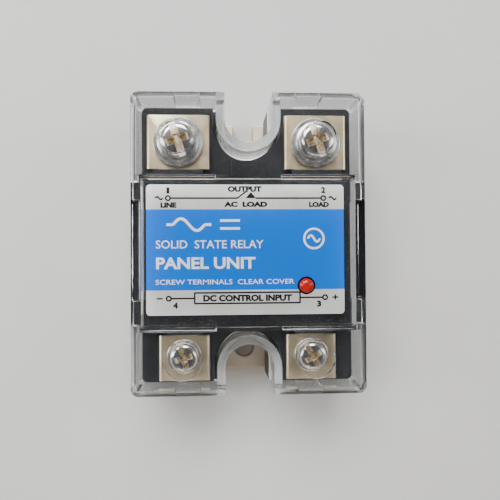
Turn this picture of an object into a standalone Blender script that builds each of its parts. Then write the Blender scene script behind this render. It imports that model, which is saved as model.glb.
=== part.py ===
"""Panel-mount solid state relay: metal base, black case, four screw terminals and a clear clip-fit cover.

The origin is the middle of the base plate's underside. +Z points up through the label, +Y points to
the output terminals (1 and 2) and -Y to the input terminals (3 and 4). All lengths are in metres.
"""

import math

import bmesh
import bpy

MM = 0.001

# Driving dimensions of the whole relay
COVER_WIDTH = 45.7 * MM
COVER_LENGTH = 58.9 * MM
TOTAL_HEIGHT = 28.3 * MM
CASE_HEIGHT = 22.9 * MM
GAP = 0.3 * MM
FINE_GAP = 0.15 * MM
OVERSHOOT = 1.0 * MM

# Base plate with its fixing slot and hole
BASE_WIDTH = 44.0 * MM
BASE_LENGTH = 57.4 * MM
BASE_THICKNESS = 3.0 * MM
BASE_CORNER = 1.5 * MM
FIXING_PITCH = 47.6 * MM
FIXING_WIDTH = 4.6 * MM
SLOT_REACH = 1.2 * MM

# Screwdriver notches in both ends of the case and the cover
NOTCH_RADIUS = 4.7 * MM
NOTCH_CENTRE = 24.35 * MM
NOTCH_WALL = 1.6 * MM
NOTCH_CLEARANCE = 0.7 * MM

# Clear cover
COVER_CORNER = 1.5 * MM
COVER_WALL = 0.9 * MM
COVER_TOP = 1.3 * MM
COVER_FOOT = 16.0 * MM
RAIL_WIDTH = 2.0 * MM
CROSS_WALL = 0.9 * MM
CROSS_WALL_END = 6.5 * MM
WINDOW_OUTPUT_SIDE = 12.5 * MM
WINDOW_INPUT_SIDE = -16.3 * MM
OUTPUT_HOLE = 6.5 * MM
INPUT_HOLE = 7.4 * MM
TONGUE_OUTPUT_SIDE = 8.6 * MM
TONGUE_INPUT_SIDE = -11.2 * MM
TONGUE_THICKNESS = 1.2 * MM
TONGUE_FOOT = 11.0 * MM
KNOCKOUT_WIDTH = 5.0 * MM
KNOCKOUT_DEPTH = 0.4 * MM
KNOCKOUT_X = 12.1 * MM
KNOCKOUT_SILL = 17.5 * MM

# Case
CASE_FLANGE_TOP = COVER_FOOT - GAP
CASE_WALL = 1.7 * MM
CASE_ROOF = 2.2 * MM
CASE_CORNER = 1.0 * MM
TERMINAL_DECK = 19.9 * MM
PLATEAU_OVERLAP = 1.4 * MM
LOW_CAVITY_TOP = 11.3 * MM
NUT_POCKET_FLOOR = 13.0 * MM
HOOD_CHEEK = 1.0 * MM
RIB_HALF_WIDTH = 3.2 * MM
RIB_HEIGHT = 0.5 * MM

# Label and lamp
LABEL_WIDTH = 40.2 * MM
LABEL_LENGTH = 26.4 * MM
LABEL_CENTRE = (-0.4 * MM, -1.2 * MM)
LABEL_THICKNESS = 0.2 * MM
LABEL_CORNER = 0.8 * MM
LABEL_LIFT = 0.1 * MM
LAMP_CENTRE = (11.9 * MM, -8.6 * MM)
LAMP_DIAMETER = 3.0 * MM
LAMP_HOLE = 3.6 * MM

# Terminals
TERMINAL_TOP = 21.2 * MM
OUTPUT_SCREW_X = 14.1 * MM
OUTPUT_SCREW_Y = 20.8 * MM
INPUT_SCREW_X = 13.0 * MM
INPUT_SCREW_Y = -22.8 * MM

# Circuit board
BOARD_TOP = 15.6 * MM
BOARD_THICKNESS = 1.6 * MM
BOARD_HALF_WIDTH = 18.0 * MM
BOARD_OUTPUT_SIDE = 9.4 * MM
BOARD_INPUT_SIDE = -15.4 * MM

# Power stage on the base plate
SUBSTRATE_TOP = BASE_THICKNESS + 1.1 * MM
PAD_TOP = SUBSTRATE_TOP + 0.6 * MM
DIE_TOP = PAD_TOP + 0.8 * MM
CLIP_TOP = DIE_TOP + 1.1 * MM
GEL_TOP = CLIP_TOP + 2.4 * MM

ROUND = 28
SMALL_ROUND = 16

OUTPUT_STACK = {
    "pitch": 0.7 * MM, "shank": 3.4 * MM, "tip": 14.3 * MM,
    "washer": 10.2 * MM, "washer_height": 0.8 * MM,
    "spring": 8.4 * MM, "spring_height": 0.9 * MM,
    "head": 7.2 * MM, "head_height": 2.2 * MM,
    "slot": 1.2 * MM, "nut": 7.0 * MM, "nut_height": 3.2 * MM, "nut_bore": 4.1 * MM,
}
INPUT_STACK = {
    "pitch": 0.5 * MM, "shank": 2.5 * MM, "tip": 14.9 * MM,
    "washer": 7.0 * MM, "washer_height": 0.5 * MM,
    "spring": 5.4 * MM, "spring_height": 0.7 * MM,
    "head": 5.6 * MM, "head_height": 1.8 * MM,
    "slot": 0.8 * MM, "nut": 5.5 * MM, "nut_height": 2.4 * MM, "nut_bore": 3.1 * MM,
}
OUTPUT_PLATE = {"width": 12.9 * MM, "length": 11.2 * MM, "thickness": 1.0 * MM,
                "centre_y": 20.95 * MM, "neck": 8.0 * MM, "leg_foot": 12.6 * MM, "hole": 4.4 * MM}
INPUT_PLATE = {"width": 10.4 * MM, "length": 9.2 * MM, "thickness": 0.8 * MM,
               "centre_y": -23.2 * MM, "neck": 5.0 * MM, "leg_foot": BOARD_TOP + GAP, "hole": 3.4 * MM}


def clear_scene():
    """Remove every object, so that the script gives the same model each time it runs."""
    for item in list(bpy.data.objects):
        bpy.data.objects.remove(item, do_unlink=True)


def material(name, colour, roughness, metallic=0.0, transmission=0.0, alpha=1.0):
    """A Principled material, made once and shared by name."""
    found = bpy.data.materials.get(name)
    if found:
        return found
    made = bpy.data.materials.new(name)
    made.use_nodes = True
    shader = made.node_tree.nodes["Principled BSDF"]
    shader.inputs["Base Color"].default_value = (*colour, 1.0)
    shader.inputs["Roughness"].default_value = roughness
    shader.inputs["Metallic"].default_value = metallic
    shader.inputs["Transmission Weight"].default_value = transmission
    shader.inputs["Alpha"].default_value = alpha
    return made


def black_plastic():
    return material("case_plastic", (0.025, 0.028, 0.032), 0.55)


def clear_plastic():
    return material("clear_plastic", (0.95, 0.97, 0.97), 0.05, transmission=1.0, alpha=0.35)


def label_film():
    return material("label_film", (0.02, 0.24, 0.68), 0.35)


def lamp_plastic():
    return material("lamp_plastic", (0.60, 0.03, 0.02), 0.15)


def nickel():
    return material("nickel_plate", (0.68, 0.63, 0.55), 0.28, metallic=1.0)


def zinc():
    return material("zinc_steel", (0.66, 0.66, 0.66), 0.32, metallic=1.0)


def base_metal():
    return material("base_metal", (0.62, 0.60, 0.57), 0.38, metallic=1.0)


def copper():
    return material("copper", (0.72, 0.38, 0.24), 0.35, metallic=1.0)


def ceramic():
    return material("ceramic", (0.85, 0.84, 0.80), 0.6)


def silicon():
    return material("silicon", (0.20, 0.21, 0.24), 0.2, metallic=0.6)


def board_laminate():
    return material("board_laminate", (0.05, 0.22, 0.09), 0.5)


def component_epoxy():
    return material("component_epoxy", (0.03, 0.03, 0.03), 0.5)


def resistor_coat():
    return material("resistor_coat", (0.55, 0.42, 0.26), 0.45)


def capacitor_coat():
    return material("capacitor_coat", (0.62, 0.33, 0.06), 0.4)


def silicone():
    return material("silicone_gel", (0.75, 0.75, 0.72), 0.3)


def adhesive():
    return material("sealing_epoxy", (0.10, 0.09, 0.08), 0.4)


def make_object(name, mesh_builder, surface, origin=(0.0, 0.0, 0.0)):
    """Turn a finished bmesh into an object whose origin is at the given place."""
    bmesh.ops.recalc_face_normals(mesh_builder, faces=mesh_builder.faces)
    bmesh.ops.translate(mesh_builder, verts=mesh_builder.verts, vec=[-value for value in origin])
    mesh = bpy.data.meshes.new(name)
    mesh_builder.to_mesh(mesh)
    mesh_builder.free()
    made = bpy.data.objects.new(name, mesh)
    made.location = origin
    bpy.context.scene.collection.objects.link(made)
    if surface:
        mesh.materials.append(surface)
    return made


def arc(centre, radius, start, end, steps):
    """Points along an arc, both ends included, with the angles in degrees."""
    points = []
    for step in range(steps + 1):
        angle = math.radians(start + (end - start) * step / steps)
        points.append((centre[0] + radius * math.cos(angle), centre[1] + radius * math.sin(angle)))
    return points


def rounded_rectangle(half_x, half_y, corner, centre=(0.0, 0.0), steps=5):
    """A counter-clockwise rectangle with round corners."""
    points = []
    for quarter, (side_x, side_y) in enumerate(((1, 1), (-1, 1), (-1, -1), (1, -1))):
        middle = (centre[0] + side_x * (half_x - corner), centre[1] + side_y * (half_y - corner))
        points += arc(middle, corner, 90 * quarter, 90 * quarter + 90, steps)
    return points


def notched_outline(half_x, half_y, corner, notch_radius, steps=5):
    """A rectangle with round corners and a round-bottomed notch in the middle of both ends."""
    left_top = (-half_x + corner, half_y - corner)
    left_low = (-half_x + corner, -half_y + corner)
    right_low = (half_x - corner, -half_y + corner)
    right_top = (half_x - corner, half_y - corner)
    points = arc(right_top, corner, 0, 90, steps)
    points.append((notch_radius, half_y))
    points += arc((0.0, NOTCH_CENTRE), notch_radius, 360, 180, 4 * steps)
    points.append((-notch_radius, half_y))
    points += arc(left_top, corner, 90, 180, steps)
    points += arc(left_low, corner, 180, 270, steps)
    points.append((-notch_radius, -half_y))
    points += arc((0.0, -NOTCH_CENTRE), notch_radius, 180, 0, 4 * steps)
    points.append((notch_radius, -half_y))
    points += arc(right_low, corner, 270, 360, steps)
    return points


def prism(name, outline, low, high, surface=None):
    """A flat outline pulled up from one height to another."""
    builder = bmesh.new()
    floor = builder.faces.new([builder.verts.new((x, y, low)) for x, y in outline])
    pulled = bmesh.ops.extrude_face_region(builder, geom=[floor])
    risen = [item for item in pulled["geom"] if isinstance(item, bmesh.types.BMVert)]
    bmesh.ops.translate(builder, verts=risen, vec=(0.0, 0.0, high - low))
    return make_object(name, builder, surface)


def block(name, low, high, surface=None, edge=0.0):
    """A box between two corners, with its edges bevelled when an edge width is given."""
    builder = bmesh.new()
    bmesh.ops.create_cube(builder, size=1.0)
    for vertex in builder.verts:
        for axis in range(3):
            vertex.co[axis] = low[axis] if vertex.co[axis] < 0 else high[axis]
    if edge:
        bmesh.ops.bevel(builder, geom=builder.edges[:], offset=edge, segments=2, affect="EDGES", profile=0.5)
    return make_object(name, builder, surface)


def turned(name, profile, centre, surface=None, closed=False, steps=ROUND):
    """Turn a profile of (radius, height) points about the vertical line through the centre."""
    builder = bmesh.new()
    rings = []
    for radius, height in profile:
        if radius == 0:
            rings.append([builder.verts.new((centre[0], centre[1], height))] * steps)
            continue
        angles = [2 * math.pi * step / steps for step in range(steps)]
        rings.append([builder.verts.new((centre[0] + radius * math.cos(angle),
                                         centre[1] + radius * math.sin(angle), height)) for angle in angles])
    pairs = list(zip(rings, rings[1:]))
    if closed:
        pairs.append((rings[-1], rings[0]))
    for lower, upper in pairs:
        for step in range(steps):
            after = (step + 1) % steps
            corners = [lower[step], lower[after], upper[after], upper[step]]
            builder.faces.new(list(dict.fromkeys(corners)))
    made = make_object(name, builder, surface, origin=(centre[0], centre[1], profile[0][1]))
    made.data.shade_smooth()
    made.data.set_sharp_from_angle(angle=math.radians(35))
    return made


def cylinder(name, radius, centre, low, high, surface=None, steps=ROUND):
    """An upright cylinder."""
    profile = [(0, low), (radius, low), (radius, high), (0, high)]
    return turned(name, profile, centre, surface, steps=steps)


def ring(name, inner, outer, centre, low, high, surface=None):
    """An upright ring with a square section."""
    profile = [(inner, low), (outer, low), (outer, high), (inner, high)]
    return turned(name, profile, centre, surface, closed=True)


def combine(target, tool, operation):
    """Join a tool to the target or cut it away, then drop the tool."""
    modifier = target.modifiers.new(operation.title(), "BOOLEAN")
    modifier.operation = operation
    modifier.solver = "EXACT"
    modifier.object = tool
    bpy.context.view_layer.update()
    evaluated = target.evaluated_get(bpy.context.evaluated_depsgraph_get())
    solid = bpy.data.meshes.new_from_object(evaluated)
    target.modifiers.remove(modifier)
    target.data = solid
    bpy.data.objects.remove(tool, do_unlink=True)


def cut(target, tool):
    combine(target, tool, "DIFFERENCE")


def weld(target, tool):
    combine(target, tool, "UNION")


def terminal_places():
    """Number, screw centre, fastener sizes and resting slot angle of the four terminals."""
    return [
        (1, (-OUTPUT_SCREW_X, OUTPUT_SCREW_Y), OUTPUT_STACK, 71),
        (2, (OUTPUT_SCREW_X, OUTPUT_SCREW_Y), OUTPUT_STACK, 71),
        (3, (INPUT_SCREW_X, INPUT_SCREW_Y), INPUT_STACK, 60),
        (4, (-INPUT_SCREW_X, INPUT_SCREW_Y), INPUT_STACK, 75),
    ]


def base_plate():
    """Flat plate with an open slot at the output end and a round hole at the input end."""
    outline = rounded_rectangle(BASE_WIDTH / 2, BASE_LENGTH / 2, BASE_CORNER)
    plate = prism("base_plate", outline, 0.0, BASE_THICKNESS, base_metal())
    slot_end = FIXING_PITCH / 2 - SLOT_REACH
    radius = FIXING_WIDTH / 2
    slot = arc((0.0, slot_end), radius, 180, 360, SMALL_ROUND)
    slot += [(radius, BASE_LENGTH), (-radius, BASE_LENGTH)]
    cut(plate, prism("slot", slot, -OVERSHOOT, BASE_THICKNESS + OVERSHOOT))
    cut(plate, cylinder("hole", radius, (0.0, -FIXING_PITCH / 2), -OVERSHOOT, BASE_THICKNESS + OVERSHOOT))
    return plate


def case_shell():
    """Flange, narrower upper body and full-width middle block, still without any hollow."""
    half_x = COVER_WIDTH / 2
    half_y = COVER_LENGTH / 2
    flange = notched_outline(half_x, half_y, COVER_CORNER, NOTCH_RADIUS + FINE_GAP)
    shell = prism("body_case", flange, BASE_THICKNESS + FINE_GAP, CASE_FLANGE_TOP, black_plastic())
    upper_x = half_x - COVER_WALL - GAP
    upper_y = half_y - COVER_WALL - GAP
    upper = notched_outline(upper_x, upper_y, CASE_CORNER, NOTCH_RADIUS + NOTCH_WALL + NOTCH_CLEARANCE)
    weld(shell, prism("upper", upper, CASE_FLANGE_TOP - OVERSHOOT, TERMINAL_DECK))
    block_x = half_x - FINE_GAP / 2
    weld(shell, block("middle", (-block_x, WINDOW_INPUT_SIDE + GAP, CASE_FLANGE_TOP - OVERSHOOT),
                      (block_x, WINDOW_OUTPUT_SIDE - GAP, CASE_HEIGHT)))
    plateau_low = (-upper_x, WINDOW_INPUT_SIDE - PLATEAU_OVERLAP, TERMINAL_DECK - OVERSHOOT)
    plateau_high = (upper_x, WINDOW_OUTPUT_SIDE + PLATEAU_OVERLAP, CASE_HEIGHT)
    weld(shell, block("plateau", plateau_low, plateau_high))
    rib_low = (-RIB_HALF_WIDTH, WINDOW_OUTPUT_SIDE, TERMINAL_DECK - OVERSHOOT)
    rib_end = NOTCH_CENTRE - NOTCH_RADIUS - NOTCH_WALL - NOTCH_CLEARANCE
    rib_high = (RIB_HALF_WIDTH, rib_end, TERMINAL_DECK + RIB_HEIGHT)
    weld(shell, block("rib", rib_low, rib_high))
    return shell


def hollow_case(shell):
    """Open the case from below: a low cavity under the terminals and a tall one under the label."""
    inner_x = COVER_WIDTH / 2 - COVER_WALL - GAP - CASE_WALL
    inner_y = COVER_LENGTH / 2 - COVER_WALL - GAP - CASE_WALL
    bulge = NOTCH_RADIUS + NOTCH_WALL + NOTCH_CLEARANCE + CASE_WALL
    low = notched_outline(inner_x, inner_y, CASE_CORNER, bulge)
    cut(shell, prism("low_cavity", low, 0.0, LOW_CAVITY_TOP))
    tall_low = (-inner_x + GAP, WINDOW_INPUT_SIDE - PLATEAU_OVERLAP + CASE_WALL, 0.0)
    tall_high = (inner_x - GAP, WINDOW_OUTPUT_SIDE + PLATEAU_OVERLAP - CASE_WALL, CASE_HEIGHT - CASE_ROOF)
    cut(shell, block("tall_cavity", tall_low, tall_high))


def add_neck_hoods(shell):
    """Carry the raised middle outwards over each terminal's neck."""
    for _, (x, y), _, _ in terminal_places():
        plate = OUTPUT_PLATE if y > 0 else INPUT_PLATE
        half = plate["neck"] / 2 + HOOD_CHEEK
        step = WINDOW_OUTPUT_SIDE if y > 0 else -WINDOW_INPUT_SIDE
        end = abs(plate["centre_y"]) - plate["length"] / 2 - GAP
        along = sorted((math.copysign(step, y), math.copysign(end, y)))
        weld(shell, block("hood", (x - half, along[0], TERMINAL_DECK - OVERSHOOT),
                          (x + half, along[1], CASE_HEIGHT)))


def cut_terminal_pockets(shell):
    """Sink a nut pocket under each terminal and a slot that lets its neck through the step."""
    for _, (x, y), stack, _ in terminal_places():
        half = stack["nut"] / 2 + GAP
        cut(shell, block("pocket", (x - half, y - half, NUT_POCKET_FLOOR),
                         (x + half, y + half, TERMINAL_DECK + OVERSHOOT)))
        plate = OUTPUT_PLATE if y > 0 else INPUT_PLATE
        half = plate["neck"] / 2 + GAP
        step = WINDOW_OUTPUT_SIDE + PLATEAU_OVERLAP if y > 0 else WINDOW_INPUT_SIDE - PLATEAU_OVERLAP
        inner = step - math.copysign(CASE_WALL + plate["thickness"] + 2 * GAP, y)
        outer = step + math.copysign(2 * OVERSHOOT, y)
        cut(shell, block("neck_slot", (x - half, min(inner, outer), TERMINAL_DECK - FINE_GAP),
                         (x + half, max(inner, outer), TERMINAL_TOP + GAP)))


def body_case():
    """The black case, with recesses for the cover's two tongues and a hole for the lamp."""
    shell = case_shell()
    hollow_case(shell)
    add_neck_hoods(shell)
    cut_terminal_pockets(shell)
    inner = COVER_WIDTH / 2 - TONGUE_THICKNESS - GAP
    for side in (-1, 1):
        edges = sorted((side * inner, side * COVER_WIDTH))
        cut(shell, block("recess", (edges[0], TONGUE_INPUT_SIDE - GAP, TONGUE_FOOT - GAP),
                         (edges[1], TONGUE_OUTPUT_SIDE + GAP, CASE_HEIGHT + OVERSHOOT)))
    cut(shell, cylinder("lamp_hole", LAMP_HOLE / 2, LAMP_CENTRE, CASE_HEIGHT - CASE_ROOF - OVERSHOOT,
                        CASE_HEIGHT + OVERSHOOT, steps=SMALL_ROUND))
    return shell


def end_hollow(side):
    """Inside of one cover end: round the notch wall and open to the window between the cross walls."""
    window = WINDOW_OUTPUT_SIDE if side > 0 else -WINDOW_INPUT_SIDE
    inner_x = COVER_WIDTH / 2 - COVER_WALL
    inner_y = COVER_LENGTH / 2 - COVER_WALL
    outer = NOTCH_RADIUS + NOTCH_WALL
    wall = window + CROSS_WALL
    outline = [(-inner_x, wall), (-CROSS_WALL_END, wall), (-CROSS_WALL_END, window - OVERSHOOT)]
    outline += [(CROSS_WALL_END, window - OVERSHOOT), (CROSS_WALL_END, wall), (inner_x, wall)]
    outline += [(inner_x, inner_y), (outer, inner_y)]
    outline += arc((0.0, NOTCH_CENTRE), outer, 360, 180, SMALL_ROUND)
    outline += [(-outer, inner_y), (-inner_x, inner_y)]
    outline = [(x, side * y) for x, y in outline]
    return prism("end_hollow", outline, 0.0, TOTAL_HEIGHT - COVER_TOP)


def clear_cover():
    """One-piece cover: two notched ends with skirts, joined by rails beside the open label window."""
    half_x = COVER_WIDTH / 2
    half_y = COVER_LENGTH / 2
    outline = notched_outline(half_x, half_y, COVER_CORNER, NOTCH_RADIUS)
    cover = prism("clear_cover", outline, COVER_FOOT, TOTAL_HEIGHT, clear_plastic())
    for side in (-1, 1):
        cut(cover, end_hollow(side))
    rail_foot = CASE_HEIGHT + GAP
    inner_x = half_x - COVER_WALL
    reach = PLATEAU_OVERLAP + GAP
    cut(cover, block("under", (-inner_x, WINDOW_INPUT_SIDE - reach, 0.0),
                     (inner_x, WINDOW_OUTPUT_SIDE + reach, rail_foot)))
    cut(cover, block("middle", (-COVER_WIDTH, WINDOW_INPUT_SIDE, 0.0),
                     (COVER_WIDTH, WINDOW_OUTPUT_SIDE, rail_foot)))
    rail_x = half_x - RAIL_WIDTH
    cut(cover, block("window", (-rail_x, WINDOW_INPUT_SIDE, CASE_HEIGHT),
                     (rail_x, WINDOW_OUTPUT_SIDE, TOTAL_HEIGHT + OVERSHOOT)))
    for side in (-1, 1):
        edges = sorted((side * (half_x - TONGUE_THICKNESS), side * half_x))
        weld(cover, block("tongue", (edges[0], TONGUE_INPUT_SIDE, TONGUE_FOOT),
                          (edges[1], TONGUE_OUTPUT_SIDE, rail_foot + OVERSHOOT)))
    cut_cover_holes(cover)
    cut_knockouts(cover)
    return cover


def cut_cover_holes(cover):
    """A screwdriver hole above each terminal screw."""
    for _, centre, _, _ in terminal_places():
        diameter = OUTPUT_HOLE if centre[1] > 0 else INPUT_HOLE
        cut(cover, cylinder("driver_hole", diameter / 2, centre, TOTAL_HEIGHT - COVER_TOP - OVERSHOOT,
                            TOTAL_HEIGHT + OVERSHOOT, steps=ROUND))


def cut_knockouts(cover):
    """Thin break-out panels inside both end walls, one in front of each terminal."""
    inner_face = COVER_LENGTH / 2 - COVER_WALL
    panel_face = inner_face + KNOCKOUT_DEPTH
    for end in (-1, 1):
        for side in (-1, 1):
            across = sorted(side * (KNOCKOUT_X + half) for half in (-KNOCKOUT_WIDTH / 2, KNOCKOUT_WIDTH / 2))
            along = sorted((end * (inner_face - OVERSHOOT), end * panel_face))
            cut(cover, block("knockout", (across[0], along[0], KNOCKOUT_SILL),
                             (across[1], along[1], TOTAL_HEIGHT - COVER_TOP)))


def label():
    """Printed label plate with a round hole for the lamp."""
    outline = rounded_rectangle(LABEL_WIDTH / 2, LABEL_LENGTH / 2, LABEL_CORNER, LABEL_CENTRE)
    low = CASE_HEIGHT + LABEL_LIFT
    plate = prism("rating_label", outline, low, low + LABEL_THICKNESS, label_film())
    cut(plate, cylinder("label_hole", LAMP_HOLE / 2, LAMP_CENTRE, CASE_HEIGHT - OVERSHOOT,
                        CASE_HEIGHT + 2 * OVERSHOOT, steps=SMALL_ROUND))
    return plate


def lamp():
    """3 mm lamp with a domed top and a collar under the case roof."""
    radius = LAMP_DIAMETER / 2
    dome_base = CASE_HEIGHT - 0.2 * MM
    foot = BOARD_TOP + GAP
    collar_top = CASE_HEIGHT - CASE_ROOF - GAP
    collar = radius + 0.5 * MM
    profile = [(0, foot), (collar, foot), (collar, collar_top), (radius, collar_top), (radius, dome_base)]
    for x, y in arc((0.0, 0.0), radius, 15, 75, 4):
        profile.append((x, dome_base + y))
    profile.append((0, dome_base + radius))
    return turned("indicator_led", profile, LAMP_CENTRE, lamp_plastic(), steps=SMALL_ROUND)


def terminal_plate(number, centre, prefix, sizes):
    """Bent plate: a flat pad under the screw, a neck through the step and a leg down into the case."""
    direction = math.copysign(1.0, sizes["centre_y"])
    x = centre[0]
    top = TERMINAL_TOP
    low = top - sizes["thickness"]
    half_length = sizes["length"] / 2
    pad = block(f"{prefix}_terminal_{number}",
                (x - sizes["width"] / 2, sizes["centre_y"] - half_length, low),
                (x + sizes["width"] / 2, sizes["centre_y"] + half_length, top), nickel())
    wall = WINDOW_OUTPUT_SIDE if direction > 0 else -WINDOW_INPUT_SIDE
    leg_outer = wall + PLATEAU_OVERLAP - CASE_WALL - GAP
    leg_inner = leg_outer - sizes["thickness"]
    half_neck = sizes["neck"] / 2
    neck_end = abs(sizes["centre_y"]) - half_length + OVERSHOOT
    along = sorted((direction * leg_inner, direction * neck_end))
    weld(pad, block("neck", (x - half_neck, along[0], low), (x + half_neck, along[1], top)))
    along = sorted((direction * leg_inner, direction * leg_outer))
    weld(pad, block("leg", (x - half_neck, along[0], sizes["leg_foot"]), (x + half_neck, along[1], top)))
    cut(pad, cylinder("screw_hole", sizes["hole"] / 2, centre, low - OVERSHOOT, top + OVERSHOOT))
    return pad


def screw(name, centre, stack, slot_angle):
    """Pan-head screw with a combined slot and cross recess; its origin is on its own axis."""
    seat = TERMINAL_TOP + stack["washer_height"] + stack["spring_height"] + 3 * FINE_GAP
    radius = stack["head"] / 2
    height = stack["head_height"]
    shank = stack["shank"] / 2
    tip = stack["tip"]
    crown = radius * 0.55
    profile = [(0, tip), (shank - 0.4 * MM, tip), (shank, tip + 0.5 * MM), (shank, seat)]
    profile += [(radius - 0.2 * MM, seat), (radius, seat + 0.2 * MM), (radius, seat + 0.4 * height)]
    profile += [(radius * 0.86, seat + 0.8 * height), (crown, seat + height), (0, seat + height)]
    made = turned(name, profile, centre, zinc())
    depth = seat + height - 0.5 * height
    for turn, length in ((slot_angle, 2 * radius + OVERSHOOT), (slot_angle + 90, 1.15 * radius)):
        tool = block("driver_slot", (-length / 2, -stack["slot"] / 2, depth),
                     (length / 2, stack["slot"] / 2, seat + height + OVERSHOOT))
        tool.location = (centre[0], centre[1], 0.0)
        tool.rotation_euler.z = -math.radians(turn)
        cut(made, tool)
    return made


def washers(number, centre, stack):
    """Flat washer on the terminal and split spring washer above it."""
    bore = stack["shank"] / 2 + GAP
    low = TERMINAL_TOP + FINE_GAP
    high = low + stack["washer_height"]
    ring(f"flat_washer_{number}", bore, stack["washer"] / 2, centre, low, high, zinc())
    low = high + FINE_GAP
    high = low + stack["spring_height"]
    outer = stack["spring"] / 2
    split = ring(f"spring_washer_{number}", bore, outer, centre, low, high, zinc())
    half = 0.4 * MM
    cut(split, block("split", (centre[0] - half, centre[1], low - OVERSHOOT),
                     (centre[0] + half, centre[1] + 2 * outer, high + OVERSHOOT)))


def nut(number, centre, stack, plate):
    """Square nut held in the case under the terminal."""
    half = stack["nut"] / 2
    high = TERMINAL_TOP - plate["thickness"] - GAP
    low = high - stack["nut_height"]
    made = block(f"captive_nut_{number}", (centre[0] - half, centre[1] - half, low),
                 (centre[0] + half, centre[1] + half, high), zinc())
    cut(made, cylinder("nut_bore", stack["nut_bore"] / 2, centre, low - OVERSHOOT, high + OVERSHOOT,
                       steps=SMALL_ROUND))


def terminals():
    """The four terminals, each a plate, nut, flat washer, spring washer and screw."""
    for number, centre, stack, slot_angle in terminal_places():
        prefix, plate = ("output", OUTPUT_PLATE) if centre[1] > 0 else ("input", INPUT_PLATE)
        terminal_plate(number, centre, prefix, plate)
        nut(number, centre, stack, plate)
        washers(number, centre, stack)
        screw(f"{prefix}_screw_{number}", centre, stack, slot_angle)


def power_stage():
    """Ceramic substrate with two copper pads, two thyristor dies, their clips and the gel above."""
    block("ceramic_substrate", (-17.0 * MM, -12.0 * MM, BASE_THICKNESS + GAP),
          (17.0 * MM, 12.5 * MM, SUBSTRATE_TOP), ceramic())
    for number, side in ((1, -1), (2, 1)):
        across = sorted((side * 1.0 * MM, side * 16.0 * MM))
        block(f"copper_pad_{number}", (across[0], -10.0 * MM, SUBSTRATE_TOP + GAP),
              (across[1], 11.5 * MM, PAD_TOP), copper())
        die_x = side * 8.0 * MM
        die_y = -side * 3.2 * MM - 2.0 * MM
        half = 2.8 * MM
        block(f"thyristor_die_{number}", (die_x - half, die_y - half, PAD_TOP + GAP),
              (die_x + half, die_y + half, DIE_TOP), silicon())
        clip(number, side, die_x, die_y)


def clip(number, side, die_x, die_y):
    """Copper clip from the top of a die across to the other pad."""
    half = 1.4 * MM
    thickness = CLIP_TOP - DIE_TOP - GAP
    foot_x = -side * 5.0 * MM
    across = sorted((die_x + side * half, foot_x))
    bar = block(f"die_clip_{number}", (across[0], die_y - half, DIE_TOP + GAP),
                (across[1], die_y + half, CLIP_TOP), copper())
    across = sorted((foot_x, foot_x + side * thickness))
    weld(bar, block("clip_foot", (across[0], die_y - half, PAD_TOP + GAP),
                    (across[1], die_y + half, CLIP_TOP)))


def output_straps():
    """Copper straps that carry the load current from the pads up to the output terminals' legs."""
    thickness = 0.8 * MM
    half = OUTPUT_PLATE["neck"] / 2 - 1.5 * MM
    leg_inner = WINDOW_OUTPUT_SIDE + PLATEAU_OVERLAP - CASE_WALL - GAP - OUTPUT_PLATE["thickness"]
    outer = leg_inner - GAP
    for number, side in ((1, -1), (2, 1)):
        x = side * (OUTPUT_SCREW_X - 1.5 * MM)
        strap = block(f"output_strap_{number}", (x - half, outer - thickness, PAD_TOP + GAP),
                      (x + half, outer, OUTPUT_PLATE["leg_foot"] + 1.8 * MM), copper())
        weld(strap, block("strap_foot", (x - half, outer - 4.0 * MM, PAD_TOP + GAP),
                          (x + half, outer, PAD_TOP + GAP + thickness)))


def gel_and_gate_leads():
    """Soft gel over the dies, and the two gate leads that rise through it to the circuit board."""
    strap_reach = 6.2 * MM
    gel = block("silicone_gel", (-17.5 * MM, -13.0 * MM, CLIP_TOP + GAP), (17.5 * MM, strap_reach, GEL_TOP),
                silicone())
    lead = 0.4 * MM
    for number, side in ((1, -1), (2, 1)):
        centre = (side * 12.5 * MM, -side * 3.2 * MM - 2.0 * MM)
        cut(gel, cylinder("lead_hole", lead + GAP, centre, CLIP_TOP, GEL_TOP + OVERSHOOT, steps=12))
        cylinder(f"gate_lead_{number}", lead, centre, PAD_TOP + GAP, BOARD_TOP - BOARD_THICKNESS - GAP,
                 copper(), steps=12)


def circuit_board():
    """Laminate board with the input and trigger components standing on it."""
    block("circuit_board", (-BOARD_HALF_WIDTH, BOARD_INPUT_SIDE, BOARD_TOP - BOARD_THICKNESS),
          (BOARD_HALF_WIDTH, BOARD_OUTPUT_SIDE, BOARD_TOP), board_laminate())
    low = BOARD_TOP + GAP
    boxes = (
        ("optocoupler", (-1.0, -4.0), (6.4, 8.8), 3.4, component_epoxy()),
        ("snubber_capacitor", (-11.5, 5.0), (10.0, 5.0), 4.6, capacitor_coat()),
        ("input_transistor", (4.6, -10.4), (4.5, 3.6), 4.4, component_epoxy()),
        ("input_diode", (-8.0, -9.5), (2.6, 4.6), 2.4, component_epoxy()),
    )
    for name, (x, y), (width, length), height, surface in boxes:
        block(name, ((x - width / 2) * MM, (y - length / 2) * MM, low),
              ((x + width / 2) * MM, (y + length / 2) * MM, low + height * MM), surface, edge=0.25 * MM)
    resistors = (("snubber_resistor", 6.0, 4.4, 1.6), ("input_resistor", -14.5, -8.0, 1.2),
                 ("gate_resistor_1", -8.0, -1.5, 1.0), ("gate_resistor_2", 14.5, -1.0, 1.0))
    for name, x, y, radius in resistors:
        lying_resistor(name, x * MM, y * MM, radius * MM)


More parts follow.
